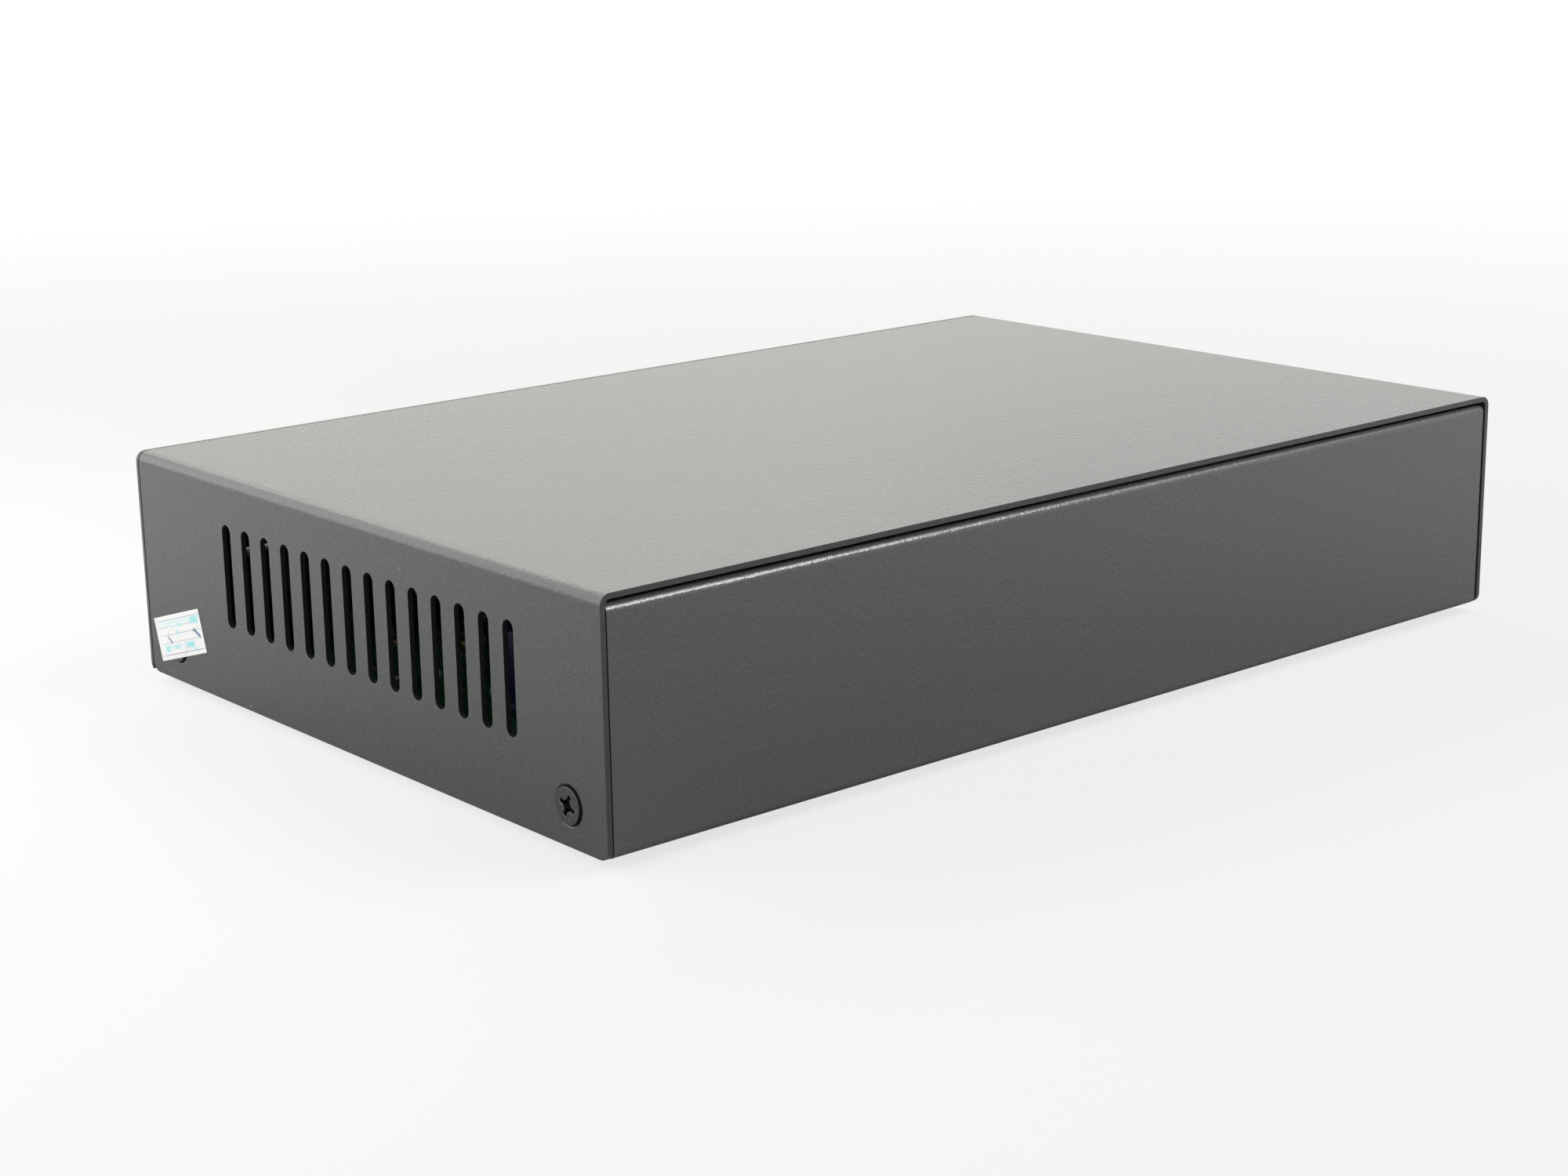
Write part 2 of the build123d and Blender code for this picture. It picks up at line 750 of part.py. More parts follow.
# Indicators: a moulded light pipe from the face plate, whose slanted back turns the light up
# from each lamp
pipe_front_y = front_y + gang_recess
for pipe_name, x in pipe_x.items():
    led_top = board_top + led_height
    corner_y = pipe_front_y + pipe_run
    with BuildPart() as light_pipe:
        with BuildSketch(Plane.XZ.offset(-pipe_front_y)):
            with Locations((x, pipe_z)):
                Circle(pipe_diameter / 2)
        extrude(amount=-pipe_run - pipe_diameter / 2)
        with BuildSketch(Plane.XY.offset(led_top + led_gap)):
            with Locations((x, corner_y)):
                Circle(pipe_diameter / 2)
        extrude(amount=pipe_z + pipe_diameter / 2 - led_top - led_gap)
        slant = Plane((x, corner_y, pipe_z), z_dir=(0, 1, 1))
        split(bisect_by=slant, keep=Keep.BOTTOM)
    save(light_pipe.part, f"{pipe_name}_light_pipe")

    with BuildPart() as led:
        with BuildSketch(Plane.XY.offset(board_top)):
            with Locations((x, corner_y)):
                Rectangle(led_width, led_depth)
        extrude(amount=led_height)
        chamfer(led.edges().group_by(Axis.Z)[-1], chip_chamfer)
    save(led.part, f"{pipe_name}_led")


# Parts on the board
def save_chip(name, x, y, width, depth, height):
    with BuildPart() as chip:
        with BuildSketch(Plane.XY.offset(board_top)):
            with Locations((x, y)):
                Rectangle(width, depth)
        extrude(amount=height)
        chamfer(chip.edges().group_by(Axis.Z)[-1], chip_chamfer)
    save(chip.part, name)


magnetics_y = gang_rear_y + part_gap + magnetics_depth / 2
pair = 0
for ports, gang_x in gangs.values():
    centres = port_centres(ports)
    for first, second in zip(centres[::2], centres[1::2]):
        pair += 1
        save_chip(
            f"magnetics_{pair}",
            gang_x + (first + second) / 2,
            magnetics_y,
            magnetics_width,
            magnetics_depth,
            magnetics_height,
        )

left_x = row_x["left_ports"]
right_x = row_x["right_ports"]
controller_y = magnetics_y + magnetics_depth / 2 + part_gap + controller_size / 2
for name, x in (("left_poe_controller", left_x), ("right_poe_controller", right_x)):
    save_chip(name, x, controller_y, controller_size, controller_size, controller_height)
chip_x = (left_x + right_x) / 2
chip_y = controller_y + controller_size / 2 + part_gap + sink_depth / 2
save_chip("switch_chip", chip_x, chip_y, switch_chip_size, switch_chip_size, switch_chip_height)

chip_top = board_top + switch_chip_height
with BuildPart() as thermal_pad:
    with BuildSketch(Plane.XY.offset(chip_top)):
        with Locations((chip_x, chip_y)):
            Rectangle(switch_chip_size - 2 * chip_chamfer, switch_chip_size - 2 * chip_chamfer)
    extrude(amount=pad_thickness)
save(thermal_pad.part, "thermal_pad")

with BuildPart() as heat_sink:
    with BuildSketch(Plane.XY.offset(chip_top + pad_thickness)):
        with Locations((chip_x, chip_y)):
            Rectangle(sink_width, sink_depth)
    extrude(amount=sink_base)
    with BuildSketch(Plane.XY.offset(chip_top + pad_thickness + sink_base)):
        with Locations((chip_x, chip_y)):
            with GridLocations((sink_width - sink_fin) / (sink_fins - 1), sink_depth, sink_fins, 1):
                Rectangle(sink_fin, sink_depth)
    extrude(amount=sink_height - sink_base)
save(heat_sink.part, "heat_sink")

# Electrolytic capacitors, with the crimped groove near the foot of the can
can_radius = capacitor_diameter / 2
groove_z = board_top + capacitor_groove_lift
can_top = board_top + capacitor_height
with BuildPart() as can:
    with BuildSketch(Plane.XZ):
        with BuildLine():
            Polyline(
                (0, board_top),
                (can_radius - capacitor_groove, board_top),
                (can_radius, board_top + capacitor_groove),
                (can_radius, groove_z - capacitor_groove),
                (can_radius - capacitor_groove, groove_z),
                (can_radius, groove_z + capacitor_groove),
                (can_radius, can_top - capacitor_groove),
                (can_radius - capacitor_groove, can_top),
                (0, can_top),
                close=True,
            )
        make_face()
    revolve(axis=Axis.Z)

capacitor_pitch = capacitor_diameter + capacitor_gap
bulk_x = board_width / 2 - 2 * standoff_inset - can_radius
bulk_y = board_rear_y - 2 * standoff_inset
capacitor_spots = {
    "bulk_capacitor_1": (bulk_x, bulk_y),
    "bulk_capacitor_2": (bulk_x, bulk_y - capacitor_pitch),
    "bulk_capacitor_3": (bulk_x, bulk_y - 2 * capacitor_pitch),
    "input_capacitor_1": (power_x, magnetics_y),
    "input_capacitor_2": (power_x, magnetics_y + capacitor_pitch),
}
for name, spot in capacitor_spots.items():
    with BuildPart() as placed_can:
        with Locations(spot):
            add(can.part)
    save(placed_can.part, name)

# Coils, regulator, memory and crystal, in columns beside the heat sink
left_column = chip_x - sink_width / 2 - part_gap - coil_size / 2
right_column = chip_x + sink_width / 2 + part_gap + coil_size / 2
rear_row = chip_y + coil_size
front_row = chip_y - coil_size
for name, x in (("core_supply_coil", right_column), ("port_supply_coil", left_column)):
    with BuildPart() as coil:
        with BuildSketch(Plane.XY.offset(board_top)):
            with Locations((x, rear_row)):
                RectangleRounded(coil_size, coil_size, coil_corner)
        extrude(amount=coil_height)
        with BuildSketch(Plane.XY.offset(board_top + coil_height)):
            with Locations((x, rear_row)):
                Circle(coil_drum / 2 + coil_gap)
                Circle(coil_drum / 2, mode=Mode.SUBTRACT)
        extrude(amount=-coil_gap_depth, mode=Mode.SUBTRACT)
    save(coil.part, name)

with BuildPart() as crystal:
    with BuildSketch(Plane.XY.offset(board_top)):
        with Locations((left_column, front_row)):
            SlotOverall(crystal_width, crystal_depth)
    extrude(amount=crystal_rim)
    with BuildSketch(Plane.XY.offset(board_top + crystal_rim)):
        with Locations((left_column, front_row)):
            SlotOverall(crystal_width - 2 * crystal_rim, crystal_depth - 2 * crystal_rim)
    extrude(amount=crystal_height - crystal_rim)
    fillet(crystal.edges().group_by(Axis.Z)[-1], crystal_round)
save(crystal.part, "crystal")

save_chip("flash_chip", right_column, front_row, flash_size, flash_size, flash_height)
save_chip(
    "voltage_regulator",
    power_x,
    magnetics_y + 2 * capacitor_pitch + part_gap / 2,
    regulator_width,
    regulator_depth,
    regulator_height,
)
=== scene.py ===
import math
import random
from functools import partial

import bmesh
import bpy
from mathutils import Matrix, Vector


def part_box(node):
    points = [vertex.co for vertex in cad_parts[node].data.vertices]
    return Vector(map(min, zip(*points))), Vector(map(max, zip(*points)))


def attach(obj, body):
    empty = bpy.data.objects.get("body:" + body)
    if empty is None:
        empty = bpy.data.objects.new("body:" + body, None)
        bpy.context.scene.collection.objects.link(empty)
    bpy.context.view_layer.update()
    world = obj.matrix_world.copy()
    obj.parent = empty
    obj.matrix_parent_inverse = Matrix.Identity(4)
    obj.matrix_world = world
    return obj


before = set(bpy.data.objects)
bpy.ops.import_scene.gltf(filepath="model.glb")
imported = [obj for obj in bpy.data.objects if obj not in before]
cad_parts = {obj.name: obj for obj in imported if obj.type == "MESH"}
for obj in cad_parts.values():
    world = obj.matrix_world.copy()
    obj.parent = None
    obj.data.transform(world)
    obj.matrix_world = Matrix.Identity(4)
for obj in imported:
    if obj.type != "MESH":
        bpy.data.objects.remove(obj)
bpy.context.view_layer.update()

# Lengths are in millimetres here and become metres where they reach Blender.
# The sockets face -Y, the bare rear panel +Y, and the feet stand on Z = 0.


def metres(value):
    if hasattr(value, "__len__"):
        return tuple(v / 1000 for v in value)
    return value / 1000


def nodeBox(name):  # lowest and highest corners in millimetres
    low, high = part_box(name)
    return Vector(low) * 1000, Vector(high) * 1000


def linear(hexColour):  # sRGB hex to the linear colour that Blender's sockets hold
    channels = [int(hexColour[i : i + 2], 16) / 255 for i in (1, 3, 5)]
    return tuple(c / 12.92 if c <= 0.04045 else ((c + 0.055) / 1.055) ** 2.4 for c in channels) + (1.0,)


def addNode(tree, kind, inputs, out=0, **settings):
    # A socket among the inputs is linked, anything else is set. Gives back one output.
    node = tree.nodes.new(kind)
    for name, value in settings.items():
        setattr(node, name, value)
    for name, value in inputs.items():
        if isinstance(value, bpy.types.NodeSocket):
            tree.links.new(value, node.inputs[name])
        else:
            node.inputs[name].default_value = value
    return node.outputs[out] if len(node.outputs) else None


def newMaterial(name):
    material = bpy.data.materials.new(name)
    material.use_nodes = True
    material.node_tree.nodes.clear()
    return material, partial(addNode, material.node_tree)


def dress(nodes, material):
    for name in nodes:
        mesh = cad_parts[name].data
        mesh.materials.clear()
        mesh.materials.append(material)


def nodesEnding(ending):
    return [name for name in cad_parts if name.endswith(ending)]


print("stage: camera")
cameraValues = {
    # degrees and millimetres, matched to the case's edges, corners and slots
    "azimuth": 139.745,  # from the socket side, anticlockwise seen from above
    "elevation": 14.83,
    "roll": -0.953,
    "place": (359.51, 409.07, 156.15),
    "lens": 63.73,
    "sensor": 36.0,
    "nearest": 10.0,  # nothing closer is drawn
}


def makeCamera(values):
    azimuth, elevation, roll = (math.radians(values[name]) for name in ("azimuth", "elevation", "roll"))
    back = Vector(
        (
            math.sin(azimuth) * math.cos(elevation),
            -math.cos(azimuth) * math.cos(elevation),
            math.sin(elevation),
        )
    )
    right = Vector((0, 0, 1)).cross(back).normalized()
    up = back.cross(right)
    turnedRight = math.cos(roll) * right + math.sin(roll) * up
    turnedUp = math.cos(roll) * up - math.sin(roll) * right
    camera = bpy.data.objects.new("photoCamera", bpy.data.cameras.new("photoCamera"))
    camera.data.sensor_fit = "HORIZONTAL"
    camera.data.sensor_width = values["sensor"]
    camera.data.lens = values["lens"]
    camera.data.clip_start = metres(values["nearest"])
    turn = Matrix((turnedRight, turnedUp, back)).transposed().to_4x4()
    camera.matrix_world = Matrix.Translation(metres(values["place"])) @ turn
    bpy.context.scene.collection.objects.link(camera)
    bpy.context.scene.camera = camera


makeCamera(cameraValues)

print("stage: floor, world and lamps")
stageValues = {
    "floorSize": 8000.0,
    "floorColour": "#D8D8D6",
    "glowShare": 0.6,  # how far the floor that is seen is a plain white, which keeps its shadow faint
    "glow": (1.25, 1.8),  # its strength near the object and far off
    "glowRise": (300.0, 1500.0),  # from the middle, the stretch over which it rises
    "mirroredRise": (110.0, 280.0),  # over which reflections of the floor leave the shadow
    "skyColour": "#FFFFFF",
    "skyStrength": 0.01,  # what lights the object, where the sky that is seen has a strength of 1
}
lampValues = {
    # name: place, aimed at, width and height in mm, power in watts, colour
    "softbox": ((-450, -1150, 950), (0, 0, 40), 1200, 600, 5.5, "#FFFBF0"),
    "lowPanel": ((-800, -950, 250), (0, 0, 40), 1400, 400, 0.9, "#FFFBF0"),
    "sidePanel": ((560, -40, 230), (114, -10, 30), 420, 420, 1.2, "#FFFDFB"),
    "nearPanel": ((280, -240, 190), (114, -60, 40), 360, 360, 0.72, "#FFFDFB"),
    "rearSoftbox": ((-457, 500, 800), (-40, 75, 20), 700, 700, 4.2, "#FFFDFB"),
    "rearPanel": ((-293, 535, 380), (110, 75, 43), 260, 200, 3.3, "#FFFDFB"),
}
litAlone = {"rearPanel": "base_tray"}  # a lamp that lights one piece and leaves no glare on the cover


def seenDirectly(add):  # 1 for the camera, in reflections and through clear pieces, otherwise 0
    seen = 0.0
    for ray in ("Is Camera Ray", "Is Glossy Ray", "Is Transmission Ray"):
        isRay = add("ShaderNodeLightPath", {}, ray)
        seen = add("ShaderNodeMath", {0: seen, 1: isRay}, operation="MAXIMUM")
    return seen


def makeFloor(values):
    half = metres(values["floorSize"]) / 2
    corners = [(-half, -half, 0), (half, -half, 0), (half, half, 0), (-half, half, 0)]
    mesh = bpy.data.meshes.new("floor")
    mesh.from_pydata(corners, [], [(0, 1, 2, 3)])
    floor = bpy.data.objects.new("floor", mesh)
    bpy.context.scene.collection.objects.link(floor)
    # Matt painted board: pale, with a soft shadow and no gloss
    material, add = newMaterial("mattPaintedBoard")
    paint = add("ShaderNodeBsdfDiffuse", {"Color": linear(values["floorColour"])})
    where = add("ShaderNodeTexCoord", {}, "Object")
    distance = add("ShaderNodeVectorMath", {0: where}, "Value", operation="LENGTH")
    (start, end), (near, far) = metres(values["glowRise"]), values["glow"]
    rise = {"Value": distance, "From Min": start, "From Max": end, "To Min": near, "To Max": far}
    glow = add("ShaderNodeEmission", {"Strength": add("ShaderNodeMapRange", rise)})
    # In reflections the floor close by keeps its full shadow
    start, end = metres(values["mirroredRise"])
    mirrored = add("ShaderNodeMapRange", {"Value": distance, "From Min": start, "From Max": end})
    share = add("ShaderNodeLightPath", {}, "Is Camera Ray")
    share = add("ShaderNodeMath", {0: share, 1: mirrored}, operation="MAXIMUM")
    share = add("ShaderNodeMath", {0: share, 1: values["glowShare"]}, operation="MULTIPLY")
    lifted = add("ShaderNodeMixShader", {0: share, 1: paint, 2: glow})
    surface = add("ShaderNodeMixShader", {0: seenDirectly(add), 1: paint, 2: lifted})
    add("ShaderNodeOutputMaterial", {"Surface": surface})
    mesh.materials.append(material)


def makeWorld(values):
    world = bpy.data.worlds.new("studio")
    world.use_nodes = True
    world.node_tree.nodes.clear()
    add = partial(addNode, world.node_tree)
    inputs = {"Value": seenDirectly(add), "To Min": values["skyStrength"], "To Max": 1.0}
    strength = add("ShaderNodeMapRange", inputs)
    sky = add("ShaderNodeBackground", {"Color": linear(values["skyColour"]), "Strength": strength})
    add("ShaderNodeOutputWorld", {"Surface": sky})
    bpy.context.scene.world = world


def makeLamps(values, alone):
    for name, (place, target, width, height, power, colour) in values.items():
        light = bpy.data.lights.new(name, "AREA")
        light.shape = "RECTANGLE"
        light.size = metres(width)
        light.size_y = metres(height)
        light.energy = power
        light.color = linear(colour)[:3]
        lamp = bpy.data.objects.new(name, light)
        lamp.location = metres(place)
        aim = Vector(metres(target)) - lamp.location
        lamp.rotation_euler = aim.to_track_quat("-Z", "Y").to_euler()
        lamp.visible_camera = False
        bpy.context.scene.collection.objects.link(lamp)
        if name in alone:
            lit = bpy.data.collections.new(name + "Lights")
            lit.objects.link(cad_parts[alone[name]])
            lamp.light_linking.receiver_collection = lit


makeFloor(stageValues)
makeWorld(stageValues)
makeLamps(lampValues, litAlone)
bpy.context.scene.view_settings.view_transform = "Standard"

print("stage: powder coat")
coatValues = {
    "colour": "#505454",
    "darkFleck": "#424646",
    "paleFleck": "#636767",
    "fleckSize": 0.55,  # patches of powder that baked a little darker or paler
    "darkFleckStretch": (0.4, 0.25),  # of the noise, from no fleck to a full one
    "paleFleckStretch": (0.6, 0.75),
    "fleckStrength": 0.6,
    "roughness": 0.25,
    "ior": 1.5,
    "peelSize": 0.5,  # powder grains are near 0.1 mm, drawn coarser because they wouldn't show
    "peelDepth": 0.06,
    "waveSize": 1.1,  # the orange peel's longer waves
    "waveDepth": 0.055,
    "grainDetail": 2.5,
    "speckSpacing": 6.0,
    "speckSize": 0.25,
    "cleanShare": 0.8,  # of the cells have no dark speck, and as many no pale one
    "darkSpeck": "#2C2F30",
    "paleSpeck": "#9A9E9E",
    "edge": 0.16,  # radius
    "edgeSamples": 6,
    # painted shade: near black for the slots' cut walls
    "slotWallShade": "#060606",
    "wallFacing": 0.6,  # a wall's normal has less than this along X
    "slotRow": (-43.0, 52.0),  # where the slots' walls are, along Y
    "slotHeight": (16.9, 37.1),  # along Z
    "slotDepth": (112.5, 113.98),  # to either side of the middle, inside the sheet
}


def powderCoatedSteel(values):
    # Polyester powder sprayed on folded steel and baked: dark grey and satin, with a tight orange
    # peel that breaks each highlight into grains, and here and there a speck of dust. The cut walls
    # of the slots are painted near black and fully rough, as painted shade.
    material, add = newMaterial("powderCoatedSteel")
    where = add("ShaderNodeTexCoord", {}, "Object")
    sizes = ("fleckSize", "peelSize", "waveSize", "speckSpacing")
    perMetre = {name: 1000 / values[name] for name in sizes}
    fleck = add("ShaderNodeTexNoise", {"Vector": where, "Scale": perMetre["fleckSize"], "Detail": 1.0})
    colour = linear(values["colour"])
    for name in ("paleFleck", "darkFleck"):
        start, end = values[name + "Stretch"]
        amount = add(
            "ShaderNodeMapRange",
            {"Value": fleck, "From Min": start, "From Max": end, "To Max": values["fleckStrength"]},
        )
        colour = add(
            "ShaderNodeMix", {0: amount, 6: colour, 7: linear(values[name])}, 2, data_type="RGBA"
        )
    # Specks: the near part of a few cells, pale or dark by the cell
    cells = {"Vector": where, "Scale": perMetre["speckSpacing"]}
    distance = add("ShaderNodeTexVoronoi", cells, "Distance")
    cell = add("ShaderNodeTexVoronoi", cells, "Color")
    near = values["speckSize"] / values["speckSpacing"]
    inside = add("ShaderNodeMapRange", {"Value": distance, "From Min": near, "From Max": near / 2})
    for name, out in (("darkSpeck", "Red"), ("paleSpeck", "Green")):
        chosen = add("ShaderNodeSeparateColor", {0: cell}, out)
        chosen = add("ShaderNodeMath", {0: chosen, 1: values["cleanShare"]}, operation="GREATER_THAN")
        amount = add("ShaderNodeMath", {0: inside, 1: chosen}, operation="MULTIPLY")
        colour = add(
            "ShaderNodeMix", {0: amount, 6: colour, 7: linear(values[name])}, 2, data_type="RGBA"
        )
    # The slots' walls, painted near black as shade: inside the sheet, and facing neither out nor in
    facing = add("ShaderNodeSeparateXYZ", {0: add("ShaderNodeTexCoord", {}, "Normal")}, "X")
    facing = add("ShaderNodeMath", {0: facing}, operation="ABSOLUTE")
    wall = add("ShaderNodeMath", {0: facing, 1: values["wallFacing"]}, operation="LESS_THAN")
    for axis, name in (("Y", "slotRow"), ("Z", "slotHeight"), ("X", "slotDepth")):
        place = add("ShaderNodeSeparateXYZ", {0: where}, axis)
        if axis == "X":
            place = add("ShaderNodeMath", {0: place}, operation="ABSOLUTE")
        low, high = metres(values[name])
        off = add("ShaderNodeMath", {0: place, 1: (low + high) / 2}, operation="SUBTRACT")
        off = add("ShaderNodeMath", {0: off}, operation="ABSOLUTE")
        within = add("ShaderNodeMath", {0: off, 1: (high - low) / 2}, operation="LESS_THAN")
        wall = add("ShaderNodeMath", {0: wall, 1: within}, operation="MULTIPLY")
    # painted shade: the slots' walls take the near black and full roughness
    colour = add(
        "ShaderNodeMix", {0: wall, 6: colour, 7: linear(values["slotWallShade"])}, 2, data_type="RGBA"
    )
    rough = add("ShaderNodeMath", {0: wall, 1: values["roughness"]}, operation="MAXIMUM")
    normal = add("ShaderNodeBevel", {"Radius": metres(values["edge"])}, samples=values["edgeSamples"])
    for size, depth in (("waveSize", "waveDepth"), ("peelSize", "peelDepth")):
        height = {"Vector": where, "Scale": perMetre[size], "Detail": values["grainDetail"]}
        height = add("ShaderNodeTexNoise", height)
        normal = add(
            "ShaderNodeBump", {"Height": height, "Distance": metres(values[depth]), "Normal": normal}
        )
    shader = add(
        "ShaderNodeBsdfPrincipled",
        {"Base Color": colour, "Roughness": rough, "IOR": values["ior"], "Normal": normal},
    )
    add("ShaderNodeOutputMaterial", {"Surface": shader})
    return material


dress(["top_cover", "base_tray"], powderCoatedSteel(coatValues))

print("stage: warranty seal")
sealLow, sealHigh = nodeBox("warranty_seal")
sealValues = {
    "middle": ((sealLow.y + sealHigh.y) / 2, (sealLow.z + sealHigh.z) / 2),
    "turn": 17.0,  # degrees
    "paper": "#FDFFFF",
    "roughness": 0.5,
    "ior": 1.45,
    "fibre": 0.25,  # paper fibres are near 0.03 mm, drawn coarser because they wouldn't show
    "fibreDepth": 0.004,
    "edge": 0.5,  # radius: paper pressed over the screw's head has no sharp folds
    "edgeSamples": 8,
    "relief": 0.3,  # how much of that relief its bright surface shows
    "blotScale": 0.9,  # waves per millimetre along a blot's edge
    "blotWander": 1.6,
    "blotSoftness": 0.4,  # shares of a mark's half width over which its edge fades
    "lineSoftness": 0.15,
    "line": "#A9B6CE",
    "rule": "#B3A3C4",
    "field": "#A5EEF4",
    "ink": "#55789B",
}
sealMarks = (
    # kind, middle across and up from the seal's middle, width, height, turn, strength
    ("line", (0.1, 3.4), 17.0, 0.16, 0, 0.75),
    ("line", (-0.4, 2.0), 16.4, 0.14, 0, 0.6),
    ("line", (0.65, 0.5), 16.4, 0.14, 0, 0.75),
    ("line", (0.4, -1.1), 16.0, 0.14, 0, 0.65),
    ("rule", (0.2, -3.4), 17.4, 0.18, 0, 0.85),
    ("field", (6.9, 2.5), 3.0, 1.3, 0, 0.95),
    ("field", (0.0, 2.7), 15.0, 1.2, 0, 0.25),
    ("field", (0.9, 2.0), 2.3, 0.6, 0, 0.4),
    ("field", (-0.1, 0.8), 0.4, 1.6, 0, 0.5),
    ("field", (-0.1, 0.8), 1.4, 0.35, 0, 0.5),
    ("field", (-5.6, -2.15), 3.0, 1.2, 0, 0.75),
    ("field", (-1.4, -2.1), 3.0, 0.8, 0, 0.6),
    ("field", (3.7, -2.1), 3.0, 1.1, 0, 1.0),
    ("field", (5.8, -3.2), 1.0, 0.7, 0, 0.7),
    ("ink", (-3.7, -0.5), 1.9, 0.5, -46, 0.8),
    ("ink", (-3.9, 0.9), 0.25, 1.0, 0, 0.35),
    ("ink", (7.2, -0.2), 2.9, 0.7, -38, 0.85),
    ("ink", (6.1, 0.4), 1.3, 0.35, 0, 0.55),
)


def coatedPaper(values, marks):
    # Calendered paper with a thin varnish: bright white, printed with ruled lines and pale blots,
    # and two strokes of a pen. The marks are plain and stand for no words.
    material, add = newMaterial("coatedPaper")
    where = add("ShaderNodeTexCoord", {}, "Object")
    across = add("ShaderNodeSeparateXYZ", {0: where}, "Y")
    up = add("ShaderNodeSeparateXYZ", {0: where}, "Z")
    flat = add("ShaderNodeCombineXYZ", {"X": across, "Y": up})
    onSeal = add(
        "ShaderNodeMapping",
        {
            "Vector": flat,
            "Location": (*metres(values["middle"]), 0),
            "Rotation": (0, 0, math.radians(values["turn"])),
            "Scale": metres((1, 1, 1)),  # millimetres from here on
        },
        vector_type="TEXTURE",
    )
    blot = add("ShaderNodeTexNoise", {"Vector": onSeal, "Scale": values["blotScale"], "Detail": 1.0})
    blot = add("ShaderNodeMath", {0: blot, 1: 0.5}, operation="SUBTRACT")
    colour = linear(values["paper"])
    for kind, middle, width, height, turn, strength in marks:
        local = add(
            "ShaderNodeMapping",
            {
                "Vector": onSeal,
                "Location": (*middle, 0),
                "Rotation": (0, 0, math.radians(turn)),
                "Scale": (width / 2, height / 2, 1),
            },
            vector_type="TEXTURE",
        )
        reach = []
        for axis in ("X", "Y"):
            side = add("ShaderNodeSeparateXYZ", {0: local}, axis)
            reach.append(add("ShaderNodeMath", {0: side}, operation="ABSOLUTE"))
        reach = add("ShaderNodeMath", {0: reach[0], 1: reach[1]}, operation="MAXIMUM")
        soft = values["lineSoftness"]
        if kind == "field":  # a blot's edge wanders and fades
            soft = values["blotSoftness"]
            reach = {0: blot, 1: values["blotWander"], 2: reach}
            reach = add("ShaderNodeMath", reach, operation="MULTIPLY_ADD")
        amount = add(
            "ShaderNodeMapRange",
            {"Value": reach, "From Min": 1 + soft, "From Max": 1 - soft, "To Max": strength},
        )
        colour = add(
            "ShaderNodeMix", {0: amount, 6: colour, 7: linear(values[kind])}, 2, data_type="RGBA"
        )
    fibre = add("ShaderNodeTexNoise", {"Vector": where, "Scale": 1000 / values["fibre"], "Detail": 3.0})
    normal = add("ShaderNodeBevel", {"Radius": metres(values["edge"])}, samples=values["edgeSamples"])
    # Only part of the relief shows: the normal leans back to that of the flat side, +X
    kept, evened = values["relief"], 1 - values["relief"]
    normal = add(
        "ShaderNodeVectorMath",
        {0: normal, 1: (kept, kept, kept), 2: (evened, 0, 0)},
        operation="MULTIPLY_ADD",
    )
    normal = add("ShaderNodeVectorMath", {0: normal}, operation="NORMALIZE")
    relief = {"Height": fibre, "Distance": metres(values["fibreDepth"]), "Normal": normal}
    normal = add("ShaderNodeBump", relief)
    surface = {"Base Color": colour, "Roughness": values["roughness"], "IOR": values["ior"]}
    shader = add("ShaderNodeBsdfPrincipled", {**surface, "Normal": normal})
    add("ShaderNodeOutputMaterial", {"Surface": shader})
    return material


dress(["warranty_seal"], coatedPaper(sealValues, sealMarks))

print("stage: board")
boardValues = {
    "mask": "#0F4A2B",
    "maskOverCopper": "#1C6B3D",
    "sawnEdge": "#8C8A5A",
    "zoneSize": 22.0,  # stretches whose tracks all run one way
    "trackPitch": 1.27,
    "trackWidth": 0.35,
    "copperThickness": 0.035,
    "patchSize": 9.0,  # stretches with tracks and without
    "roughness": 0.3,
    "ior": 1.55,
    "edge": 0.1,  # radius
    "edgeSamples": 4,
}


